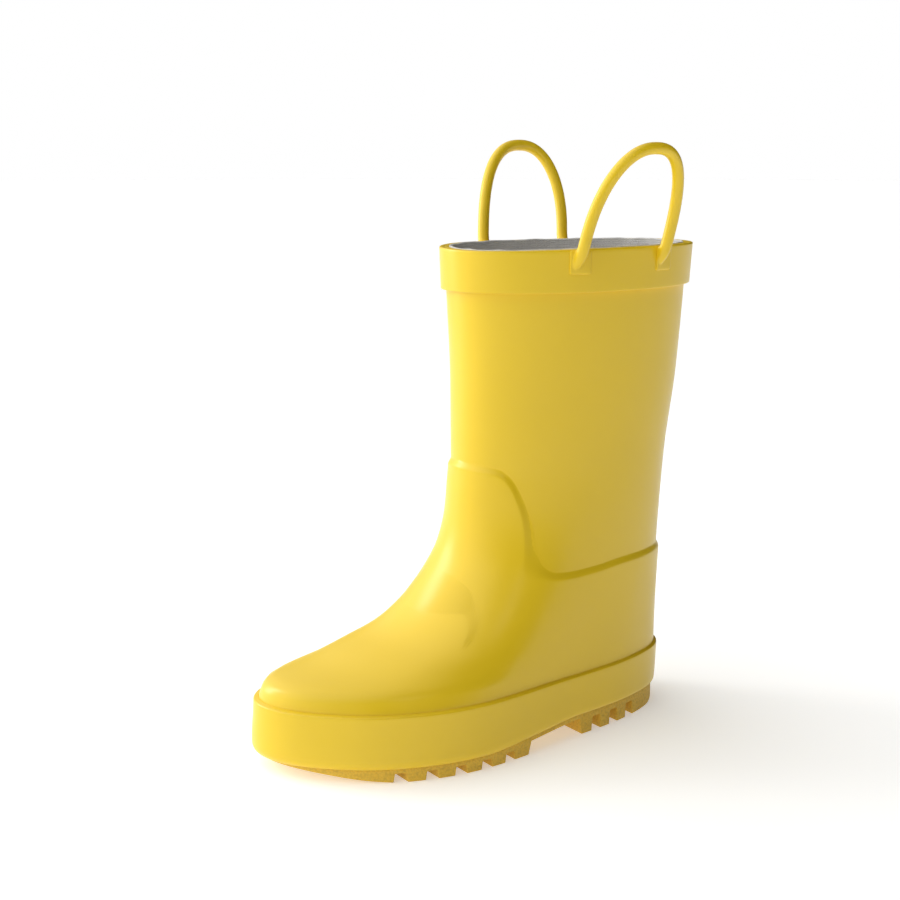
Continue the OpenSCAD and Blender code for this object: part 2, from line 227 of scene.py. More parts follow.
# Front and rear of the leg by height, in metres, and its half width as a part of the rim's
LEG_FRONT = curve([(0, -0.008), (0.24, -0.009), (0.47, -0.012), (0.69, -0.012), (0.9, -0.0135), (1, -0.0142)])
LEG_REAR = curve([(0, 0.0867), (0.24, 0.0889), (0.47, 0.091), (0.69, 0.0964), (0.9, 0.0994), (1, 0.1009)])
LEG_HALF = curve([(0, 0.86), (0.24, 0.86), (0.47, 0.89), (0.69, 0.94), (0.9, 0.99), (1, 1)])
LEG_ROUND = 2.1         # 2 is an ellipse, more is squarer
# How far the foot's outline has closed in to the leg's over the toes, by height
VAMP = curve([(0, 0), (0.06, 0.02), (0.12, 0.25), (0.17, 0.41), (0.21, 0.54), (0.26, 0.64), (0.36, 0.76),
              (0.48, 0.85), (0.62, 0.925), (0.8, 0.975), (1, 1)])
# Edge of the galosh by angle from the toe: 1 at the front of the ankle, 0 at the heel's height
GALOSH_EDGE = curve([(0, 1), (20, 0.98), (33, 0.95), (39.5, 0.89), (46, 0.76), (54, 0.53), (62.5, 0.24),
                     (70, 0.07), (78, 0), (86, -0.01), (100, 0), (115, 0.02), (180, 0.02)])
# Thickness of the foxing from its lower edge to its top, as parts of its thickness at the toe's top: it
# swells low down at the toe and draws in at the heel
FOXING_TOE = curve([(0, 0.7), (0.05, 1.2), (0.16, 1.52), (0.4, 1.45), (0.75, 1.15), (1, 1)])
FOXING_HEEL = curve([(0, 0.1), (0.05, 0.2), (0.16, 0.28), (0.4, 0.38), (0.75, 0.5), (1, 0.6)])
TOE_BLEND = 0.2         # how softly the toe's way of closing gives over to the sides'

TOE = 270.0             # direction of the toe, in degrees; 0 is the outer side and 90 the heel
TABLE_STEP = 0.5        # degrees between entries of the outline's table
TABLE_SIZE = round(360 / TABLE_STEP)
SOFTEN = 9              # entries that each pass of the outline's smoothing spreads over
DIRECTIONS = [(i + 0.5) * 360 / AROUND for i in range(AROUND)]


def outline_table():
    """The foot's outline by direction, every TABLE_STEP degrees, as parts of its half sizes."""
    line = sorted((math.degrees(math.atan2(y, x)) % 360, x, y) for x, y in closed_spline(FOOT, 40))
    line = [(line[-1][0] - 360, *line[-1][1:]), *line, (line[0][0] + 360, *line[0][1:])]
    turns = [p[0] for p in line]
    table = []
    for i in range(TABLE_SIZE):
        k = bisect_right(turns, i * TABLE_STEP) - 1
        share = (i * TABLE_STEP - turns[k]) / (turns[k + 1] - turns[k])
        table.append([mix(line[k][j], line[k + 1][j], share) for j in (1, 2)])
    half = SOFTEN // 2
    for _ in range(2):
        spread = [[table[(i + k) % TABLE_SIZE] for k in range(-half, half + 1)] for i in range(TABLE_SIZE)]
        table = [[sum(entry[j] for entry in near) / SOFTEN for j in (0, 1)] for near in spread]
    return table


class Form:
    """The boot's surface, point by point, from its sizes."""

    def __init__(self, sizes):
        self.s = sizes
        self.table = outline_table()
        self.foxing_in = sizes.galosh_wall + 0.45 * MM
        self.sole_out = self.foxing_in + 0.4 * MM
        self.heel_out = self.sole_out - 1.4 * MM
        self.lining_out = -sizes.shell_wall - 1.0 * MM
        self.leg_mid = (LEG_FRONT(1) + LEG_REAR(1)) / 2

    def foot(self, a):
        place = (a % 360) / TABLE_STEP
        k = int(place)
        p, q = self.table[k % TABLE_SIZE], self.table[(k + 1) % TABLE_SIZE]
        x, y = (mix(p[j], q[j], place - k) for j in (0, 1))
        return x * self.s.ball_width / 2, y * self.s.foot_len / 2 - self.s.foot_ahead

    def leg(self, a, z):
        u = clamp((z - self.s.foxing_top) / (self.s.rim_height - self.s.foxing_top))
        front, rear = LEG_FRONT(u), LEG_REAR(u)
        exponent = 2 / LEG_ROUND
        turn = math.radians(a)
        return (LEG_HALF(u) * self.s.rim_width / 2 * power(math.cos(turn), exponent),
                (front + rear) / 2 + (rear - front) / 2 * power(math.sin(turn), exponent))

    def closing(self, a, z):
        """How far the outline has closed in from the foot's to the leg's."""
        u = clamp((z - self.s.foxing_top) / (self.s.instep_top - self.s.foxing_top))
        toe = -math.sin(math.radians(a))
        toe = (toe + math.hypot(toe, TOE_BLEND)) / (1 + math.hypot(1, TOE_BLEND))
        return toe * VAMP(u) + (1 - toe) * (1 - (1 - u) ** 1.6)

    def skin(self, a, z):
        share = self.closing(a, z)
        foot, leg = self.foot(a), self.leg(a, z)
        return Vector((mix(foot[0], leg[0], share), mix(foot[1], leg[1], share), z))

    def at(self, a, z, out):
        """The point of the shell's outer surface in direction a at height z, moved outward."""
        turn, lift = 2.0, 0.8 * MM
        along = self.skin(a + turn, z) - self.skin(a - turn, z)
        up = self.skin(a, z + lift) - self.skin(a, z - lift)
        normal = along.cross(up)
        if z <= self.s.foxing_top or z >= self.s.collar_low:
            normal.z = 0
        return self.skin(a, z) + out * normal.normalized()

    def direction_of(self, y):
        """Direction, on the outer side, in which the rim lies at y."""
        half = (LEG_REAR(1) - LEG_FRONT(1)) / 2
        return math.degrees(math.asin(power((y - self.leg_mid) / half, LEG_ROUND / 2)))

    def galosh_top(self, a):
        away = abs((a - TOE + 180) % 360 - 180)
        return mix(self.s.galosh_rear, self.s.galosh_front, GALOSH_EDGE(away))

    def galosh_slant(self, a):
        """How much longer the galosh's slanting edge is than its run round the boot."""
        turn = 4.0
        p, q = (self.skin(b, self.galosh_top(b)) for b in (a - turn, a + turn))
        run = math.hypot(q.x - p.x, q.y - p.y)
        return math.hypot(run, q.z - p.z) / run

    def foxing_floor(self, y):
        """Height of the foxing's lower edge: it steps up from the forefoot to the heel."""
        return mix(self.s.foxing_low, self.s.heel_low, clamp((y - STEP[0]) / (STEP[1] - STEP[0])))

    def foxing_thick(self, y, u):
        """Thickness of the foxing at y, a share u of the way up."""
        heel = clamp((y + self.s.foot_ahead) / self.s.foot_len + 0.5)
        return self.s.foxing_wall * mix(FOXING_TOE(u), FOXING_HEEL(u), heel)

    def loop_mid(self, side):
        """Middle of a loop's hinge line."""
        s = self.s
        back = s.inner_setback if side < 0 else 0
        return Vector((side * (s.rim_width / 2 + s.collar_proud + HINGE_OUT), self.leg_mid + back,
                       s.rim_height + HINGE_OVER))

    def rim_wave(self, a):
        """Height that the hand-trimmed rim runs above or below its true height."""
        turn = math.radians(a)
        return 0.22 * MM * math.sin(2 * turn + 0.6) + 0.15 * MM * math.sin(3 * turn + 2.0)


# ---- Mesh work ----

def next_ring(bm, ring):
    """Extrudes a closed ring of vertices and gives the new ring in the same order."""
    edges = [bm.edges.get((ring[i - 1], ring[i])) for i in range(len(ring))]
    geom = bmesh.ops.extrude_edge_only(bm, edges=edges)["geom"]
    made = {g for g in geom if isinstance(g, bmesh.types.BMVert)}
    return [next(e.other_vert(v) for e in v.link_edges if e.other_vert(v) in made) for v in ring]


def place(ring, points):
    for vertex, point in zip(ring, points):
        vertex.co = point


def loft(rows):
    """A skin drawn out ring by ring through rows of points."""
    bm = bmesh.new()
    ring = bmesh.ops.create_circle(bm, segments=len(rows[0]), radius=1.0)["verts"]
    place(ring, rows[0])
    for row in rows[1:]:
        ring = next_ring(bm, ring)
        place(ring, row)
    return bm


def weld(bm, near=0.002 * MM):
    """Merges doubles and turns every face outward."""
    bmesh.ops.remove_doubles(bm, verts=bm.verts, dist=near)
    bmesh.ops.dissolve_degenerate(bm, edges=bm.edges, dist=near)
    bmesh.ops.recalc_face_normals(bm, faces=bm.faces)
    return bm


def rows_of(form, profile):
    """Rows round the boot, where profile(a) is the closed section in direction a as (height, out) pairs."""
    columns = []
    for a in DIRECTIONS:
        section = [form.at(a, z, out) for z, out in profile(a)]
        columns.append([*section, section[0]])
    return [list(row) for row in zip(*columns)]


def top_edge(z, outer, inner, radius):
    """Section over the top of a wall, from its outer face to its inner, with rounded edges."""
    steps = [math.radians(d) for d in (0, 22.5, 45, 67.5, 90)]
    up = [(z - radius + radius * math.sin(t), outer - radius + radius * math.cos(t)) for t in steps]
    down = [(z - radius + radius * math.cos(t), inner + radius - radius * math.sin(t)) for t in steps]
    return up + down


def bottom_edge(z, outer, inner, radius):
    """Section under the foot of a wall, from its inner face to its outer, with rounded edges."""
    return [(2 * z - h, out) for h, out in reversed(top_edge(z, outer, inner, radius))]


def add_piece(name, bm, material, body=ROOT, replaces=(), sharp=40.0):
    """Makes the mesh object of a finished bmesh, smooth but for edges sharper than an angle."""
    mesh = bpy.data.meshes.new(name)
    bm.to_mesh(mesh)
    bm.free()
    mesh.polygons.foreach_set("use_smooth", [True] * len(mesh.polygons))
    mesh.set_sharp_from_angle(angle=math.radians(sharp))
    mesh.materials.append(material)
    piece = bpy.data.objects.new(name, mesh)
    bpy.context.scene.collection.objects.link(piece)
    if body:
        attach(piece, body)
    if replaces:
        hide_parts(*replaces)
    return piece


def bake_modifiers(piece):
    """Gives a piece the mesh that its modifiers make, and takes them off."""
    graph = bpy.context.evaluated_depsgraph_get()
    old = piece.data
    piece.data = bpy.data.meshes.new_from_object(piece.evaluated_get(graph))
    piece.data.name = piece.name
    piece.modifiers.clear()
    bpy.data.meshes.remove(old)


def unwrap_cloth(bm, form, z, rows):
    """Gives a lofted cloth the UV map of its flat cut, in metres: round the leg, then up it."""
    uv = bm.loops.layers.uv.new("cloth")
    ring = [form.at(a, z, 0) for a in DIRECTIONS]
    run = [0.0]
    for i in range(AROUND):
        run.append(run[-1] + (ring[(i + 1) % AROUND] - ring[i]).length)
    rise = [0.0]
    for i in range(1, len(rows)):
        rise.append(rise[-1] + (rows[i][0] - rows[i - 1][0]).length)
    for face in bm.faces:
        at_seam = any(corner.vert.index % AROUND == AROUND - 1 for corner in face.loops)
        for corner in face.loops:
            row, column = divmod(corner.vert.index, AROUND)
            wrapped = AROUND if column == 0 and at_seam else column
            corner[uv].uv = (run[wrapped], rise[min(row, len(rise) - 1)])


# ---- Materials ----

def add_node(tree, kind, settings=None, **inputs):
    """Adds a shader node: settings are its own values, inputs its sockets' values or links, by name or
    index."""
    node = tree.nodes.new(kind)
    for key, value in (settings or {}).items():
        setattr(node, key, value)
    for key, value in inputs.items():
        socket = node.inputs[int(key[1:]) if key[0] == "i" and key[1:].isdigit() else key.replace("_", " ")]
        if isinstance(value, bpy.types.NodeSocket):
            tree.links.new(value, socket)
        else:
            socket.default_value = value
    return node


def new_material(name):
    """An empty node material and its tree."""
    material = bpy.data.materials.new(name)
    material.use_nodes = True
    material.node_tree.nodes.clear()
    return material, material.node_tree


def finish_material(tree, shader):
    add_node(tree, "ShaderNodeOutputMaterial", Surface=shader.outputs[0])


def tint(colour_value, gain):
    """A colour made lighter or darker."""
    return (*(clamp(c * gain) for c in colour_value[:3]), 1.0)


def per(size):
    """Texture scale that repeats a pattern about every size, in metres."""
    return 1 / size


def mixed(tree, factor, a, b):
    """A colour between a and b."""
    node = add_node(tree, "ShaderNodeMix", {"data_type": "RGBA"}, i0=factor)
    for index, value in ((6, a), (7, b)):
        if isinstance(value, bpy.types.NodeSocket):
            tree.links.new(value, node.inputs[index])
        else:
            node.inputs[index].default_value = value
    return node.outputs[2]


def ranged(tree, value, low, high, start=0.0, stop=1.0):
    """A value carried from start..stop over to low..high."""
    node = add_node(tree, "ShaderNodeMapRange", i0=value, i1=start, i2=stop, i3=low, i4=high)
    return node.outputs[0]


def satin_rubber(colours):
    """Hand-laid natural rubber under a satin varnish: even colour, broad soft highlights that waver a
    little where the sheet was rolled on, and a skin too fine to see but in the highlights' edges."""
    material, tree = new_material("satin_varnished_rubber")
    place_at = add_node(tree, "ShaderNodeTexCoord").outputs["Object"]
    patches = add_node(tree, "ShaderNodeTexNoise", Vector=place_at, Scale=per(0.045), Detail=3.0,
                       Roughness=0.5)
    skin = add_node(tree, "ShaderNodeTexNoise", Vector=place_at, Scale=per(0.0009), Detail=2.0, Roughness=0.5)
    waves = add_node(tree, "ShaderNodeTexNoise", Vector=place_at, Scale=per(0.016), Detail=1.0, Roughness=0.4)
    base = mixed(tree, patches.outputs["Fac"], tint(colours.rubber, 0.965), tint(colours.rubber, 1.03))
    rough = ranged(tree, waves.outputs["Fac"], 0.28, 0.34, 0.3, 0.7)
    coarse = add_node(tree, "ShaderNodeBump", Strength=1.0, Distance=0.05 * MM, Height=waves.outputs["Fac"])
    fine = add_node(tree, "ShaderNodeBump", Strength=1.0, Distance=0.003 * MM, Height=skin.outputs["Fac"],
                    Normal=coarse.outputs[0])
    shader = add_node(tree, "ShaderNodeBsdfPrincipled", Base_Color=base, Roughness=rough, IOR=1.5,
                      Normal=fine.outputs[0])
    finish_material(tree, shader)
    return material


def tread_rubber(colours):
    """Compression-moulded rubber from a spark-eroded mould: a stippled, sandy skin a shade deeper than the
    upper, dull, with painted shade in the stipple's hollows."""
    material, tree = new_material("stippled_moulded_rubber")
    place_at = add_node(tree, "ShaderNodeTexCoord").outputs["Object"]
    grain = add_node(tree, "ShaderNodeTexVoronoi", {"feature": "F1"}, Vector=place_at, Scale=per(0.0010),
                     Randomness=1.0)
    clumps = add_node(tree, "ShaderNodeTexNoise", Vector=place_at, Scale=per(0.0022), Detail=3.0,
                      Roughness=0.6)
    patches = add_node(tree, "ShaderNodeTexNoise", Vector=place_at, Scale=per(0.03), Detail=2.0)
    base = mixed(tree, patches.outputs["Fac"], tint(colours.tread, 0.94), tint(colours.tread, 1.04))
    # painted shade: the stipple's hollows, low in the bump, are darkened
    painted_pit_shade = ranged(tree, grain.outputs["Distance"], 0.0, 0.55, 0.35, 0.9)
    base = mixed(tree, painted_pit_shade, base, tint(colours.tread, 0.66))
    raised = add_node(tree, "ShaderNodeMath", {"operation": "MULTIPLY_ADD"}, i0=grain.outputs["Distance"],
                      i1=-1.0, i2=clumps.outputs["Fac"])
    bump = add_node(tree, "ShaderNodeBump", Strength=1.0, Distance=0.16 * MM, Height=raised.outputs[0])
    rough = ranged(tree, clumps.outputs["Fac"], 0.5, 0.66)
    shader = add_node(tree, "ShaderNodeBsdfPrincipled", Base_Color=base, Roughness=rough, IOR=1.5,
                      Normal=bump.outputs[0])
    finish_material(tree, shader)
    return material


def cotton_knit(colours):
    """Undyed cotton stockinette: columns of small slanted stitches, matt, with painted shade in the hollows
    between the yarns and a faint heather."""
    material, tree = new_material("cotton_stockinette")
    wale, course = 1.5 * MM, 1.15 * MM      # a stitch is about 1 mm; drawn a little coarser so that it shows
    cloth = add_node(tree, "ShaderNodeUVMap", {"uv_map": "cloth"}).outputs[0]
    parts = add_node(tree, "ShaderNodeSeparateXYZ", Vector=cloth)

    def maths(operation, a, b=0.0, c=0.0):
        return add_node(tree, "ShaderNodeMath", {"operation": operation}, i0=a, i1=b, i2=c).outputs[0]

    across = maths("FRACT", maths("DIVIDE", parts.outputs["X"], wale))
    vee = maths("ABSOLUTE", maths("SUBTRACT", across, 0.5))                     # 0 in a column's middle
    up = maths("MULTIPLY_ADD", vee, -1.1, maths("DIVIDE", parts.outputs["Y"], course))
    stitch = maths("SINE", maths("MULTIPLY", up, 2 * math.pi))
    limbs = maths("SINE", maths("MULTIPLY", vee, 2 * math.pi))                  # two limbs to a stitch
    height = maths("MULTIPLY", maths("MULTIPLY_ADD", stitch, 0.5, 0.5), limbs)
    place_at = add_node(tree, "ShaderNodeTexCoord").outputs["Object"]
    fuzz = add_node(tree, "ShaderNodeTexNoise", Vector=place_at, Scale=per(0.0006), Detail=3.0, Roughness=0.7)
    heather = add_node(tree, "ShaderNodeTexNoise", Vector=place_at, Scale=per(0.004), Detail=4.0,
                       Roughness=0.6)
    rough_height = maths("MULTIPLY_ADD", fuzz.outputs["Fac"], 0.6, height)
    base = mixed(tree, ranged(tree, heather.outputs["Fac"], 0.0, 1.0, 0.35, 0.65), colours.knit,
                 tint(colours.knit, 0.86))
    # painted shade: the hollows between the yarns, low in the bump, are greyed
    base = mixed(tree, ranged(tree, rough_height, 0.75, 0.0, 0.1, 0.9), base, tint(colours.knit, 0.8))
    bump = add_node(tree, "ShaderNodeBump", Strength=1.0, Distance=0.35 * MM, Height=rough_height)
    shader = add_node(tree, "ShaderNodeBsdfPrincipled", Base_Color=base, Roughness=0.95, IOR=1.45,
                      Sheen_Weight=0.8, Sheen_Roughness=0.4, Normal=bump.outputs[0])
    finish_material(tree, shader)
    return material


def brushed_fabric(colours):
    """Brushed polyester laminate: short matted nap that lies along the foot and greys where it is thin."""
    material, tree = new_material("brushed_polyester_laminate")
    place_at = add_node(tree, "ShaderNodeTexCoord").outputs["Object"]
    lying = add_node(tree, "ShaderNodeMapping", Vector=place_at, Scale=(per(0.0005), per(0.002), per(0.0005)))
    nap = add_node(tree, "ShaderNodeTexNoise", Vector=lying.outputs[0], Scale=1.0, Detail=4.0, Roughness=0.65)
    worn = add_node(tree, "ShaderNodeTexNoise", Vector=place_at, Scale=per(0.012), Detail=3.0)
    base = mixed(tree, nap.outputs["Fac"], tint(colours.cover, 0.7), tint(colours.cover, 1.05))
    rubbed = ranged(tree, worn.outputs["Fac"], 0.0, 0.4, 0.45, 0.75)
    base = mixed(tree, rubbed, base, tint(colours.cover, 0.8))
    bump = add_node(tree, "ShaderNodeBump", Strength=1.0, Distance=0.2 * MM, Height=nap.outputs["Fac"])
    shader = add_node(tree, "ShaderNodeBsdfPrincipled", Base_Color=base, Roughness=0.95, IOR=1.45,
                      Sheen_Weight=0.35, Sheen_Roughness=0.4, Normal=bump.outputs[0])
    finish_material(tree, shader)
    return material


def cellular(name, shade, cell, depth, dull):
    """A foam or sponge: small burst cells in a matt body, with painted shade darkening the inside of each
    cell.
    """
    material, tree = new_material(name)
    place_at = add_node(tree, "ShaderNodeTexCoord").outputs["Object"]
    cells = add_node(tree, "ShaderNodeTexVoronoi", {"feature": "F1"}, Vector=place_at, Scale=per(cell))
    cloudy = add_node(tree, "ShaderNodeTexNoise", Vector=place_at, Scale=per(cell * 9), Detail=3.0)
    base = mixed(tree, cloudy.outputs["Fac"], tint(shade, 0.92), tint(shade, 1.06))
    # painted shade: the middle of each cell, low in the bump, is darkened
    base = mixed(tree, ranged(tree, cells.outputs["Distance"], 0.6, 0.0, 0.05, 0.45), base, tint(shade, 0.6))
    bump = add_node(tree, "ShaderNodeBump", Strength=1.0, Distance=depth, Height=cells.outputs["Distance"])
    shader = add_node(tree, "ShaderNodeBsdfPrincipled", Base_Color=base, Roughness=dull, IOR=1.45,
                      Normal=bump.outputs[0])
    finish_material(tree, shader)
    return material


def fibrous(name, shade, fibre, depth, dull):
    """A board or felt pressed from fibres: fine crossing streaks and flecks on a matt ground."""
    material, tree = new_material(name)
    place_at = add_node(tree, "ShaderNodeTexCoord").outputs["Object"]
    streaks = []
    for stretch in ((1.0, 0.18, 1.0), (0.18, 1.0, 0.18)):
        laid = add_node(tree, "ShaderNodeMapping", Vector=place_at, Scale=[per(fibre) * k for k in stretch])
        streaks.append(add_node(tree, "ShaderNodeTexNoise", Vector=laid.outputs[0], Scale=1.0, Detail=4.0,
                                Roughness=0.7).outputs["Fac"])
    crossed = add_node(tree, "ShaderNodeMath", {"operation": "MULTIPLY"}, i0=streaks[0], i1=streaks[1])
    felted = crossed.outputs[0]
    base = mixed(tree, ranged(tree, felted, 0.0, 1.0, 0.12, 0.4), tint(shade, 0.74), tint(shade, 1.14))
    bump = add_node(tree, "ShaderNodeBump", Strength=1.0, Distance=depth, Height=felted)
    shader = add_node(tree, "ShaderNodeBsdfPrincipled", Base_Color=base, Roughness=dull, IOR=1.48,
                      Normal=bump.outputs[0])
    finish_material(tree, shader)
    return material


def studio_paper(colours):
    """Seamless background paper: even, matt, with barely any tooth, and lit from under as on a light
    table."""
    material, tree = new_material("seamless_paper")
    place_at = add_node(tree, "ShaderNodeTexCoord").outputs["Object"]
    tooth = add_node(tree, "ShaderNodeTexNoise", Vector=place_at, Scale=per(0.0015), Detail=2.0)
    base = mixed(tree, tooth.outputs["Fac"], tint(colours.floor, 0.99), tint(colours.floor, 1.01))
    shader = add_node(tree, "ShaderNodeBsdfPrincipled", Base_Color=base, Roughness=0.9, IOR=1.45,
                      Emission_Color=(1.0, 1.0, 1.0, 1.0), Emission_Strength=0.35)
    finish_material(tree, shader)
    return material


def material_of(maker, *values):
    """The material that a maker makes, made once."""
    key = maker.__name__ + "".join(v for v in values if isinstance(v, str))
    if key not in MADE:
        MADE[key] = maker(*values)
    return MADE[key]


MADE = {}


def rubber(context):
    return material_of(satin_rubber, context.scene.boot_colours)


# ---- Upper ----

def shell_section(form):
    """The shell: from under the foxing up to the rim outside, and down again inside."""
    s = form.s
    low = BOARD_BOX[0].z
    outer = [low, 0.02, *spaced(s.foxing_top - 2 * MM, 0.062, 0.9 * MM), *spaced(0.064, s.instep_top, 2 * MM),
             *spaced(s.instep_top + 3 * MM, s.rim_height - 1 * MM, 3 * MM)]
    inner = [low, *spaced(0.02, 0.062, 3 * MM), *spaced(0.067, s.rim_height - 1 * MM, 5 * MM)]

    def section(a):
        top = s.rim_height + form.rim_wave(a)
        edge = top_edge(top, 0, -s.shell_wall, 0.35 * MM)
        return [(z, 0) for z in outer] + edge + [(z, -s.shell_wall) for z in reversed(inner)]

    return section


def galosh_section(form):
    """The galosh: a raised sheet whose top edge is rolled down soft onto the shell."""
    s = form.s
    low, roll = s.foxing_top - 3 * MM, 3.4 * MM
    edge = [i / 12 for i in range(13)]
    share = [(i / 56) ** 1.35 for i in range(57)]
    outer = form.foxing_in - 0.15 * MM

    def section(a):
        top = form.galosh_top(a)
        run = roll * form.galosh_slant(a)
        body = [(mix(low, top - run, u), outer) for u in share]
        rolled = [(top - run * (1 - u), mix(outer, -0.05 * MM, smoothstep(u))) for u in edge[1:]]
        return body + rolled + [(mix(top - run, low, u), -0.3 * MM) for u in (0.1, 0.4, 0.7, 1)]

    return section


def collar_section(form):
    """The collar band: a thick strip with a crisp lower edge and a rounded top."""
    s = form.s

    def section(a):
        top = s.rim_height + form.rim_wave(a)
        heights = spaced(s.collar_low + 0.8 * MM, s.rim_height - 1.4 * MM, 2.4 * MM)
        middle = [(z, s.collar_proud) for z in heights]
        return (bottom_edge(s.collar_low, s.collar_proud, -0.3 * MM, 0.3 * MM)[2:] + middle
                + top_edge(top, s.collar_proud, -0.3 * MM, 0.6 * MM)[:-2])

    return section


class RAINBOOT_OT_upper(bpy.types.Operator):
    """Build the rubber upper: shell, galosh and collar band"""
    bl_idname = "rain_boot.upper"
    bl_label = "Upper"

    def execute(self, context):
        form = Form(context.scene.boot_sizes)
        for name, section, node in (("upper_shell", shell_section, "leg_shell"),
                                    ("galosh_overlay", galosh_section, "galosh"),
                                    ("rim_collar", collar_section, "collar_band")):
            bm = weld(loft(rows_of(form, section(form))))
            add_piece(name, bm, rubber(context), replaces=[node], sharp=55)
        return {"FINISHED"}


# ---- Foxing ----

BEAD_HEIGHT = 1.9 * MM


def foxing_section(form):
    """The foxing: a band that swells towards its rounded lower edge at the toe."""
    s = form.s
    shares = [0.0, 0.012, 0.03, 0.055, 0.085, 0.12, *[0.16 + 0.84 * i / 22 for i in range(23)]]
    top = s.foxing_top - BEAD_HEIGHT
    back = form.foxing_in - 0.4 * MM

    def section(a):
        y = form.at(a, s.foxing_top, form.foxing_in).y
        low = form.foxing_floor(y)
        face = [(mix(low, top, u), form.foxing_in + form.foxing_thick(y, u)) for u in shares]
        return [(low, back), (low, form.foxing_in + 0.5 * form.foxing_thick(y, 0))] + face + [(top, back)]

    return section


def bead_section(form):
    """The bead: a thin strip, flush with the foxing, that rounds over its top edge."""
    s = form.s
    inner = form.foxing_in - 0.4 * MM
    low, rise = s.foxing_top - BEAD_HEIGHT, 0.35 * MM

    def section(a):
        thick = form.foxing_thick(form.at(a, s.foxing_top, form.foxing_in).y, 1)
        outer = form.foxing_in + thick
        rounded = top_edge(s.foxing_top - rise, outer, inner, 0.4 * thick)[:5]
        return [(low, inner), (low, outer)] + rounded + [(s.foxing_top, form.foxing_in - 0.1 * MM),
                                                         (s.foxing_top - rise, inner)]

    return section


class RAINBOOT_OT_foxing(bpy.types.Operator):
    """Build the foxing band and its bead"""
    bl_idname = "rain_boot.foxing"
    bl_label = "Foxing"

    def execute(self, context):
        form = Form(context.scene.boot_sizes)
        for name, section, node in (("foxing_band", foxing_section, "foxing"),
                                    ("foxing_edge_bead", bead_section, "foxing_bead")):
            bm = weld(loft(rows_of(form, section(form))))
            add_piece(name, bm, rubber(context), replaces=[node], sharp=55)
        return {"FINISHED"}


# ---- Sole ----

GROOVE_FIRST = -0.0625      # middle of the groove nearest the toe
GROOVES = 5
HEEL_GROOVES = 3
ARCH = (-0.0035, 0.0265)    # the open arch, from the last forefoot lug to the heel
ARCH_PLATE = 0.002          # thickness of the sole's plate over the arch
HEEL_GROOVE_FIRST = ARCH[1] + 0.010     # middle of the groove nearest the arch
GROOVE_TOP = 0.004
HEEL_GROOVE_TOP = 0.0065
STEP = (-0.023, 0.022)      # the foxing's lower edge steps up from here to here
TOE_SPRING = curve([(-0.104, 0.0055), (-0.097, 0.0047), (-0.088, 0.0033), (-0.075, 0.0012), (-0.064, 0)])
SHANK_RIB = (-0.016, 0.002, 0.0015)     # rib along under the arch: its two sides and its underside
SOLE_INSETS = (0.93, 0.8, 0.6, 0.35, 0.0)      # rings over the sole's flat faces, as parts of its outline
HALF_ACROSS = 0.06          # more than half the sole's width


def heel_round(y):
    """How far the rear lower edge of the heel is rounded up."""
    start, radius = 0.0745, 0.0125
    away = clamp(y - start, 0.0, 0.96 * radius)
    return radius - math.sqrt(radius ** 2 - away ** 2)


def sole_slab(form, out, top, under):
    """A slab of the sole's outline between heights that follow top(y) and under(y)."""
    edge = [form.at(a, form.s.foxing_top, out) for a in DIRECTIONS]
    centre = Vector((0, -form.s.foot_ahead, 0))
    soft = 0.5 * MM

    def level(inset, height):
        row = []
        for p in edge:
            q = centre + (Vector((p.x, p.y, 0)) - centre) * inset
            q.z = height(q.y)
            row.append(q)
        return row

    def drawn_in(height, by):
        """The outline drawn in by a distance, for a rounded edge."""
        row = []
        for p in edge:
            flat = Vector((p.x, p.y, 0)) - centre
            q = centre + flat * (1 - by / flat.length)
            q.z = height(q.y)
            row.append(q)
        return row

    rows = [level(i, under) for i in reversed(SOLE_INSETS)]
    rows.append(drawn_in(under, soft))
    rows.append(drawn_in(lambda y: under(y) + 0.3 * soft, 0.3 * soft))
    rows += [drawn_in(lambda y, u=u: mix(under(y) + soft, top(y), u), 0.0) for u in (0, 0.25, 0.5, 0.75, 1)]
    rows += [level(i, top) for i in SOLE_INSETS]
    return weld(loft(rows))


def bar(profile, left=-HALF_ACROSS, right=HALF_ACROSS):
    """A bar across the sole, whose side view is the [y, z] outline."""
    bm = bmesh.new()
    corners = [bm.verts.new((left, y, z)) for y, z in profile]
    face = bm.faces.new(corners)
    made = bmesh.ops.extrude_face_region(bm, geom=[face])["geom"]
    bmesh.ops.translate(bm, verts=[g for g in made if isinstance(g, bmesh.types.BMVert)],
                        vec=(right - left, 0, 0))
    bmesh.ops.recalc_face_normals(bm, faces=bm.faces)
    return bm


def groove_profile(y, width, top, splay, round_by=0.7 * MM):
    """Side view of a groove: wider at the floor, with its upper corners rounded."""
    half, low = width / 2, -2 * MM
    wide = half + splay
    arc = [math.radians(d) for d in (0, 30, 60, 90)]
    right = [(y + half - splay - round_by * (1 - math.cos(t)), top - round_by * (1 - math.sin(t)))
             for t in arc]
    left = [(2 * y - p, z) for p, z in reversed(right)]
    return [(y - wide, low), (y + wide, low), *right, *left]


def carve(piece, bars):
    """Cuts bars out of a piece, one by one; each is a profile and, if it doesn't run right across, its
    ends."""
    for i, (profile, *ends) in enumerate(bars):
        mesh = bpy.data.meshes.new(f"cutter_{i}")
        bm = bar(profile, *ends)
        bm.to_mesh(mesh)
        bm.free()
        cutter = bpy.data.objects.new(mesh.name, mesh)
        bpy.context.scene.collection.objects.link(cutter)
        cut = piece.modifiers.new("cut", "BOOLEAN")
        cut.operation = "DIFFERENCE"
        cut.solver = "EXACT"
        cut.object = cutter
        bake_modifiers(piece)
        bpy.data.objects.remove(cutter)
        bpy.data.meshes.remove(mesh)


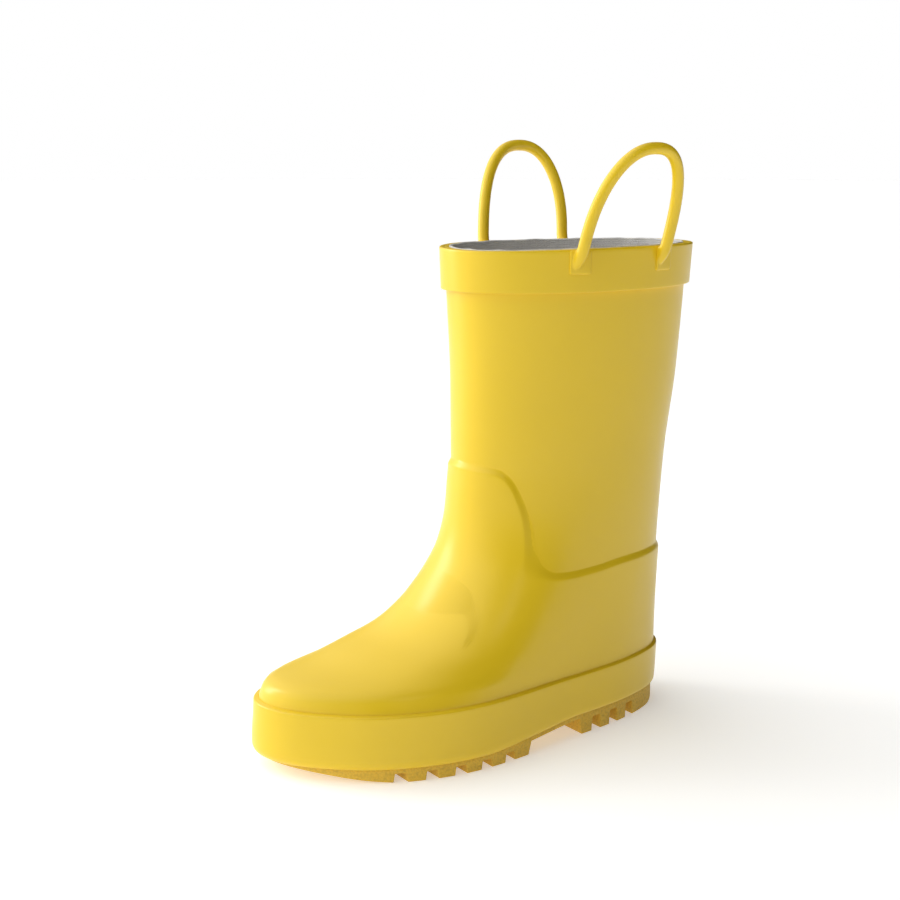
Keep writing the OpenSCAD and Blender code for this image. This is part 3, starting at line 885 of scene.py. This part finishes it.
def soften(piece, width, sharp=35.0):
    """Rounds a piece's sharp edges and shades it smooth."""
    bm = bmesh.new()
    bm.from_mesh(piece.data)
    bmesh.ops.remove_doubles(bm, verts=bm.verts, dist=0.02 * MM)
    bmesh.ops.dissolve_degenerate(bm, edges=bm.edges, dist=0.02 * MM)
    edges = [e for e in bm.edges if len(e.link_faces) == 2 and e.calc_face_angle(0) > math.radians(sharp)]
    bmesh.ops.bevel(bm, geom=edges, offset=width, offset_type="OFFSET", affect="EDGES", segments=2,
                    profile=0.5, material=-1, clamp_overlap=True)
    weld(bm)
    bm.to_mesh(piece.data)
    bm.free()
    piece.data.polygons.foreach_set("use_smooth", [True] * len(piece.data.polygons))
    piece.data.set_sharp_from_angle(angle=math.radians(sharp))


class RAINBOOT_OT_sole(bpy.types.Operator):
    """Build the forefoot tread with its plate, and the heel block"""
    bl_idname = "rain_boot.sole"
    bl_label = "Sole"

    def execute(self, context):
        form = Form(context.scene.boot_sizes)
        s = form.s
        tread = material_of(tread_rubber, context.scene.boot_colours)
        far, slope = 0.2, 1.6 * MM
        outsole = add_piece("forefoot_tread", sole_slab(form, form.sole_out, form.foxing_floor, TOE_SPRING),
                            tread, replaces=["outsole"])
        cuts = [(groove_profile(GROOVE_FIRST + i * s.lug_pitch, s.groove_width, GROOVE_TOP, 0.4 * MM),)
                for i in range(GROOVES)]
        arch_low = form.foxing_floor(ARCH[0]) - ARCH_PLATE
        arch_high = s.heel_low - ARCH_PLATE
        rib_inner, rib_outer, rib_z = SHANK_RIB
        arch = [(ARCH[0] - slope, -slope), (far, -slope), (far, arch_high), (STEP[1], arch_high),
                (ARCH[0] + 0.4 * slope, arch_low)]
        cuts.append((arch, -HALF_ACROSS, rib_inner))
        cuts.append((arch, rib_outer, HALF_ACROSS))
        cuts.append(([(ARCH[0] - slope, -slope), (far, -slope), (far, rib_z), (ARCH[0], rib_z)],))
        cuts.append(([(ARCH[1], -slope), (far, -slope), (far, far), (ARCH[1], far)],))
        carve(outsole, cuts)
        soften(outsole, 0.35 * MM)
        heel = add_piece("heel_tread", sole_slab(form, form.heel_out, lambda y: s.heel_low, heel_round),
                         tread, replaces=["heel_block"])
        cuts = [(groove_profile(HEEL_GROOVE_FIRST + i * s.heel_pitch, s.groove_width, HEEL_GROOVE_TOP,
                                0.3 * MM),) for i in range(HEEL_GROOVES)]
        cuts.append(([(-far, -slope), (ARCH[1] + slope, -slope), (ARCH[1] + slope, 0),
                      (ARCH[1] + 0.1 * MM, arch_low), (ARCH[1] + 0.1 * MM, far), (-far, far)],))
        carve(heel, cuts)
        soften(heel, 0.35 * MM)
        return {"FINISHED"}


# ---- Lining and footbed ----

def lining_wave(a, z, top):
    """The knit's own unevenness: it fades out below the rim."""
    turn = math.radians(a)
    near = clamp(1 - (top - z) / 0.012)
    return 0.18 * MM * near * (math.sin(17 * turn) + 0.6 * math.sin(31 * turn + 1.0))


class RAINBOOT_OT_lining(bpy.types.Operator):
    """Build the knitted lining of the leg and of the foot"""
    bl_idname = "rain_boot.lining"
    bl_label = "Lining"

    def execute(self, context):
        form = Form(context.scene.boot_sizes)
        s = form.s
        knit = material_of(cotton_knit, context.scene.boot_colours)
        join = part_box("leg_lining")[0].z
        rim = s.rim_height + 0.3 * MM
        leg_out = -s.shell_wall - 0.05 * MM

        def leg(a):
            top = rim + form.rim_wave(a) + lining_wave(a, rim, rim) * 0.6
            inner = leg_out - s.lining_wall
            heights = spaced(join, s.rim_height - 2 * MM, 3 * MM)
            return ([(z, leg_out) for z in heights] + top_edge(top, leg_out, inner, 0.5 * MM)
                    + [(z, inner + lining_wave(a, z, rim)) for z in reversed(heights)])

        def foot(a):
            low = FOAM_BOX[0].z
            inner = form.lining_out - s.lining_wall
            heights = [low, *spaced(0.02, 0.062, 1.4 * MM), *spaced(0.065, join - 1 * MM, 3 * MM)]
            return ([(z, form.lining_out) for z in heights] + top_edge(join, form.lining_out, inner, 0.4 * MM)
                    + [(z, inner) for z in reversed(heights)])

        for name, section, height, node in (("leg_knit_lining", leg, rim, "leg_lining"),
                                            ("foot_knit_lining", foot, s.foxing_top, "foot_lining")):
            rows = rows_of(form, section)
            bm = loft(rows)
            bm.verts.index_update()
            unwrap_cloth(bm, form, height, rows)
            add_piece(name, weld(bm), knit, replaces=[node], sharp=70)
        return {"FINISHED"}


class RAINBOOT_OT_footbed(bpy.types.Operator):
    """Build the footbed: a cupped foam pad with a brushed cover"""
    bl_idname = "rain_boot.footbed"
    bl_label = "Footbed"

    def execute(self, context):
        form = Form(context.scene.boot_sizes)
        s = form.s
        out = form.lining_out - s.lining_wall - 0.4 * MM
        edge = [form.at(a, s.foxing_top, out) for a in DIRECTIONS]
        centre = Vector((0, -s.foot_ahead, 0))
        shares = (1.0, 0.985, 0.96, 0.92, 0.86, 0.78, 0.68, 0.56, 0.42, 0.26, 0.1, 0.0)

        def cup(p, share):
            """Height of the pad's top over its rim: hollow under heel and ball, raised at the arch."""
            hollow = -0.9 * MM * (1 - share ** 3)
            arch = 1.6 * MM * math.exp(-((p.y - 0.018) / 0.022) ** 2) * smoothstep((-p.x - 0.004) / 0.02)
            return hollow + arch * (1 - share ** 6)

        def pad(name, low, high, dished_below, material, node):
            rise = high - low
            rows = []
            for part, base in ((0.0, low), (1.0, high)):
                inwards = shares if part else tuple(reversed(shares))
                for share in inwards:
                    row = []
                    for p in edge:
                        q = centre + (Vector((p.x, p.y, 0)) - centre) * share
                        soft = min(0.4 * rise, 0.4 * MM) * smoothstep((share - 0.96) / 0.04)
                        dish = cup(q, share) if part or dished_below else 0.0
                        q.z = base + dish + (-soft if part else soft)
                        row.append(q)
                    rows.append(row)
            piece = add_piece(name, weld(loft(rows)), material, replaces=[node], sharp=80)

        colours = context.scene.boot_colours
        foam = material_of(cellular, "closed_cell_foam", colours.foam, 0.0008, 0.08 * MM, 0.8)
        pad("footbed_pad", FOAM_BOX[0].z, FOAM_BOX[1].z, False, foam, "footbed_foam")
        pad("footbed_top_cloth", COVER_BOX[0].z, COVER_BOX[1].z, True, material_of(brushed_fabric, colours),
            "footbed_cover")
        return {"FINISHED"}


# ---- Pull loops ----

HINGE_OVER = 2 * MM         # a loop's hinge line runs this far above the rim
HINGE_OUT = 1.1 * MM        # and this far out from the collar's face
PATCH = (9 * MM, 9.6 * MM)  # length along the rim and height of a root's patch
CORD_SIDES = 28


def tube(path, radii, sides=CORD_SIDES):
    """A closed tube along a path, with a radius at each of its points."""
    forward = [(path[min(i + 1, len(path) - 1)] - path[max(i - 1, 0)]).normalized() for i in range(len(path))]
    across = forward[0].orthogonal().normalized()
    rows = [[path[0]] * sides]
    for point, way, radius in zip(path, forward, radii):
        across = (across - way * across.dot(way)).normalized()
        other = way.cross(across)
        turns = [2 * math.pi * k / sides for k in range(sides)]
        rows.append([point + radius * (across * math.cos(t) + other * math.sin(t)) for t in turns])
    rows.append([path[-1]] * sides)
    return weld(loft(rows))


# Each root runs on down into its patch: how far down, in towards the leg and along to the heel, in
# millimetres, and its share of the cord's radius
ROOT_WAY = [(1.9, 0.55, -0.2, 1.0), (3.8, 1.2, -0.5, 1.0), (5.6, 2.0, -0.9, 0.95), (7.2, 2.9, -1.3, 0.82),
            (8.6, 3.8, -1.7, 0.64), (9.8, 4.7, -2.0, 0.42)]


BOW_POWER = 2.35            # 2 is half an ellipse, more is squarer
BOW_FLARE = 0.35            # share of the loop's lean that it takes on over its upper half
BOW_STEPS = 400
INNER_TALLER = 1.035        # the inner loop stands this much higher than the outer one
PATCH_SHIFT = 1.0 * MM      # a patch reaches further to the heel than to the toe
CORD_STEP = 0.8 * MM        # from one ring of a loop's cord to the next
MELT_VOXEL = 0.3 * MM
MELT_PASSES = 6             # smoothing passes after the melt


def loop_path(form, side):
    """Centreline of a pull loop's arch from hinge to hinge, and of its two roots."""
    s = form.s
    half = s.loop_span / 2
    rise = (s.loop_rise - HINGE_OVER - s.cord_d / 2) * (INNER_TALLER if side < 0 else 1.0)
    base = form.loop_mid(side)
    arch = []
    for i in range(BOW_STEPS + 1):
        t = math.pi * i / BOW_STEPS
        up = rise * power(math.sin(t), 2 / BOW_POWER)
        lean = math.tan(s.loop_lean) * up * (1 - BOW_FLARE + BOW_FLARE * up / rise)
        arch.append(base + Vector((side * lean, -half * power(math.cos(t), 2 / BOW_POWER)
                                   + math.tan(s.loop_rake) * up, up * math.cos(s.loop_lean))))
    roots = [[hinge + Vector((-side * inward, along, -down)) * MM for down, inward, along, _ in ROOT_WAY]
             for hinge in (arch[0], arch[-1])]
    return arch, roots


def even_path(points, step):
    """The same path with its points an even step apart."""
    runs = [0.0]
    for p, q in zip(points, points[1:]):
        runs.append(runs[-1] + (q - p).length)
    made = []
    for run in spaced(0, runs[-1], step):
        k = min(bisect_right(runs, run) - 1, len(points) - 2)
        made.append(points[k].lerp(points[k + 1], (run - runs[k]) / (runs[k + 1] - runs[k])))
    return made


def patch_block(form, side, y, low, high):
    """A soft-edged pad of rubber on the collar round a loop's root."""
    bm = bmesh.new()
    bmesh.ops.create_cube(bm, size=1.0)
    bmesh.ops.bevel(bm, geom=bm.edges, offset=0.07, segments=2, affect="EDGES", profile=0.5, material=-1)
    for v in bm.verts:
        a = form.direction_of(y + v.co.x * PATCH[0])
        z = form.s.rim_height - 0.2 * MM - PATCH[1] * (0.5 - v.co.z)
        v.co = form.at(a if side > 0 else 180 - a, z, mix(low, high, v.co.y + 0.5))
    return weld(bm)


def add_to(bm, other):
    """Adds a second bmesh's faces to a bmesh."""
    mesh = bpy.data.meshes.new("added")
    other.to_mesh(mesh)
    other.free()
    bm.from_mesh(mesh)
    bpy.data.meshes.remove(mesh)


def melted(bm):
    """The soft-edged skin round the solids of a bmesh."""
    piece = bpy.data.objects.new("melting", bpy.data.meshes.new("melting"))
    bm.to_mesh(piece.data)
    bm.free()
    bpy.context.scene.collection.objects.link(piece)
    melt = piece.modifiers.new("melt", "REMESH")
    melt.mode = "VOXEL"
    melt.voxel_size = MELT_VOXEL
    bake_modifiers(piece)
    made = bmesh.new()
    made.from_mesh(piece.data)
    mesh = piece.data
    bpy.data.objects.remove(piece)
    bpy.data.meshes.remove(mesh)
    for _ in range(MELT_PASSES):
        bmesh.ops.smooth_vert(made, verts=made.verts, factor=0.5, use_axis_x=True, use_axis_y=True,
                              use_axis_z=True)
    bmesh.ops.recalc_face_normals(made, faces=made.faces)
    return made


def build_loop(context, side, name, nodes):
    """One pull loop, with the two patches that its roots melt into."""
    form = Form(context.scene.boot_sizes)
    s = form.s
    radius = s.cord_d / 2
    arch, roots = loop_path(form, side)
    hinge = form.loop_mid(side)
    below = [root[:2] for root in roots]
    line = even_path([*reversed(below[0]), *arch, *below[1]], CORD_STEP)
    bm = tube(line, [radius] * len(line))
    for end, root in zip((-1, 1), roots):
        start = arch[0] if end < 0 else arch[-1]
        blob = tube([start, *root], [0.97 * radius, *[radius * share for *_, share in ROOT_WAY]])
        y = hinge.y + end * s.loop_span / 2 + PATCH_SHIFT
        add_to(blob, patch_block(form, side, y, s.collar_proud - 0.5 * MM, s.collar_proud + 0.75 * MM))
        add_to(bm, melted(blob))
    piece = add_piece(name, bm, rubber(context), body=None, replaces=nodes, sharp=70)
    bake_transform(piece)


class RAINBOOT_OT_loops(bpy.types.Operator):
    """Build the two rubber pull loops with the patches that hold their roots"""
    bl_idname = "rain_boot.loops"
    bl_label = "Pull loops"

    def execute(self, context):
        build_loop(context, 1, "outer_pull_loop",
                   ["outer_handle", "outer_front_anchor", "outer_rear_anchor"])
        build_loop(context, -1, "inner_pull_loop",
                   ["inner_handle", "inner_front_anchor", "inner_rear_anchor"])
        return {"FINISHED"}


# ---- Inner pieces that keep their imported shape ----

class RAINBOOT_OT_inner_pieces(bpy.types.Operator):
    """Give the stiffeners, the insole board and the filler their materials"""
    bl_idname = "rain_boot.inner_pieces"
    bl_label = "Inner pieces"

    def execute(self, context):
        colours = context.scene.boot_colours
        felt = material_of(fibrous, "resin_stiffened_felt", colours.stiffener, 0.0007, 0.06 * MM, 0.85)
        board = material_of(fibrous, "cellulose_board", colours.board, 0.0011, 0.04 * MM, 0.75)
        sponge = material_of(cellular, "sponge_rubber", colours.sponge, 0.0013, 0.2 * MM, 0.9)
        for node, material in (("toe_puff", felt), ("heel_counter", felt), ("ankle_reinforcement", felt),
                               ("insole_board", board), ("midsole_filler", sponge)):
            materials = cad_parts[node].data.materials
            materials.clear()
            materials.append(material)
        return {"FINISHED"}


# ---- Stage ----

def towards(azimuth, elevation):
    """Unit vector towards a camera or light at an azimuth and elevation, in degrees."""
    a, e = math.radians(azimuth), math.radians(elevation)
    return Vector((math.sin(a) * math.cos(e), -math.cos(a) * math.cos(e), math.sin(e)))


def add_softbox(name, azimuth, elevation, distance, size, watts, aim):
    """A rectangular softbox that faces a point on the boot."""
    data = bpy.data.lights.new(name, "AREA")
    data.shape = "RECTANGLE"
    data.size, data.size_y = size
    data.energy = watts
    light = bpy.data.objects.new(name, data)
    way = towards(azimuth, elevation)
    light.location = aim + way * distance
    light.rotation_euler = way.to_track_quat("Z", "Y").to_euler()
    bpy.context.scene.collection.objects.link(light)
    return light


def studio_dome(settings, lit_side):
    """A world that is brighter on its lit side, as a tent of white cloth is, and white to the eye."""
    world = bpy.data.worlds.new("studio_dome")
    bpy.context.scene.world = world
    world.use_nodes = True
    tree = world.node_tree
    tree.nodes.clear()
    way = add_node(tree, "ShaderNodeTexCoord").outputs["Generated"]
    lit = add_node(tree, "ShaderNodeVectorMath", {"operation": "DOT_PRODUCT"}, i0=way, i1=lit_side)
    smooth = add_node(tree, "ShaderNodeMapRange", {"interpolation_type": "SMOOTHSTEP"},
                      i0=lit.outputs["Value"], i1=0.1, i2=1.0, i3=settings.dome_low, i4=settings.dome_high)
    cloth = add_node(tree, "ShaderNodeBackground", Color=(1.0, 1.0, 1.0, 1.0), Strength=smooth.outputs[0])
    seen = add_node(tree, "ShaderNodeBackground", Color=(1.0, 1.0, 1.0, 1.0), Strength=1.0)
    eye = add_node(tree, "ShaderNodeLightPath").outputs["Is Camera Ray"]
    either = add_node(tree, "ShaderNodeMixShader", i0=eye, i1=cloth.outputs[0], i2=seen.outputs[0])
    add_node(tree, "ShaderNodeOutputWorld", Surface=either.outputs[0])


class RAINBOOT_OT_stage(bpy.types.Operator):
    """Set the floor, the soft studio light and the camera"""
    bl_idname = "rain_boot.stage"
    bl_label = "Stage"

    def execute(self, context):
        scene = context.scene
        settings = scene.boot_stage
        bm = bmesh.new()
        bmesh.ops.create_circle(bm, cap_ends=True, segments=96, radius=12.0)
        mesh = bpy.data.meshes.new("studio_floor")
        bm.to_mesh(mesh)
        bm.free()
        mesh.materials.append(material_of(studio_paper, scene.boot_colours))
        floor = bpy.data.objects.new("studio_floor", mesh)
        scene.collection.objects.link(floor)
        azimuth = math.degrees(settings.azimuth)
        aim = Vector((0, settings.aim_y, settings.aim_z))
        studio_dome(settings, towards(azimuth - 92, 36))
        add_softbox("key_softbox", azimuth - 108, 20, 1.2, (0.35, 0.8), settings.key, aim)
        add_softbox("fill_softbox", azimuth + 20, 32, 1.2, (0.14, 0.5), settings.fill, aim)
        data = bpy.data.cameras.new("camera")
        data.lens, data.sensor_width = settings.lens, 36.0
        data.shift_x, data.shift_y = settings.shift_x, settings.shift_y
        data.clip_start, data.clip_end = 0.01, 50.0
        camera = bpy.data.objects.new("camera", data)
        way = towards(azimuth, math.degrees(settings.elevation))
        camera.location = aim + way * settings.distance
        camera.rotation_euler = way.to_track_quat("Z", "Y").to_euler()
        scene.collection.objects.link(camera)
        scene.camera = camera
        scene.view_settings.view_transform = "Standard"
        return {"FINISHED"}


class RAINBOOT_PT_sidebar(bpy.types.Panel):
    """Lists the boot's build steps"""
    bl_label = "Rain Boot"
    bl_idname = "RAINBOOT_PT_sidebar"
    bl_space_type = "VIEW_3D"
    bl_region_type = "UI"
    bl_category = "Rain Boot"

    def draw(self, context):
        for operator in STEPS:
            self.layout.operator(operator.bl_idname)


STEPS = (RAINBOOT_OT_upper, RAINBOOT_OT_foxing, RAINBOOT_OT_sole, RAINBOOT_OT_lining, RAINBOOT_OT_footbed,
         RAINBOOT_OT_loops, RAINBOOT_OT_inner_pieces, RAINBOOT_OT_stage)
GROUPS = {"boot_sizes": BootSizes, "boot_colours": BootColours, "boot_stage": StageSettings}


def register():
    for item in (*GROUPS.values(), *STEPS, RAINBOOT_PT_sidebar):
        bpy.utils.register_class(item)
    for name, group in GROUPS.items():
        setattr(bpy.types.Scene, name, PointerProperty(type=group))


def unregister():
    for name in GROUPS:
        delattr(bpy.types.Scene, name)
    for item in (RAINBOOT_PT_sidebar, *reversed(STEPS), *reversed(GROUPS.values())):
        bpy.utils.unregister_class(item)


def main():
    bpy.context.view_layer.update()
    register()
    for step in STEPS:
        getattr(bpy.ops.rain_boot, step.bl_idname.split(".")[1])()


if __name__ == "__main__":
    main()
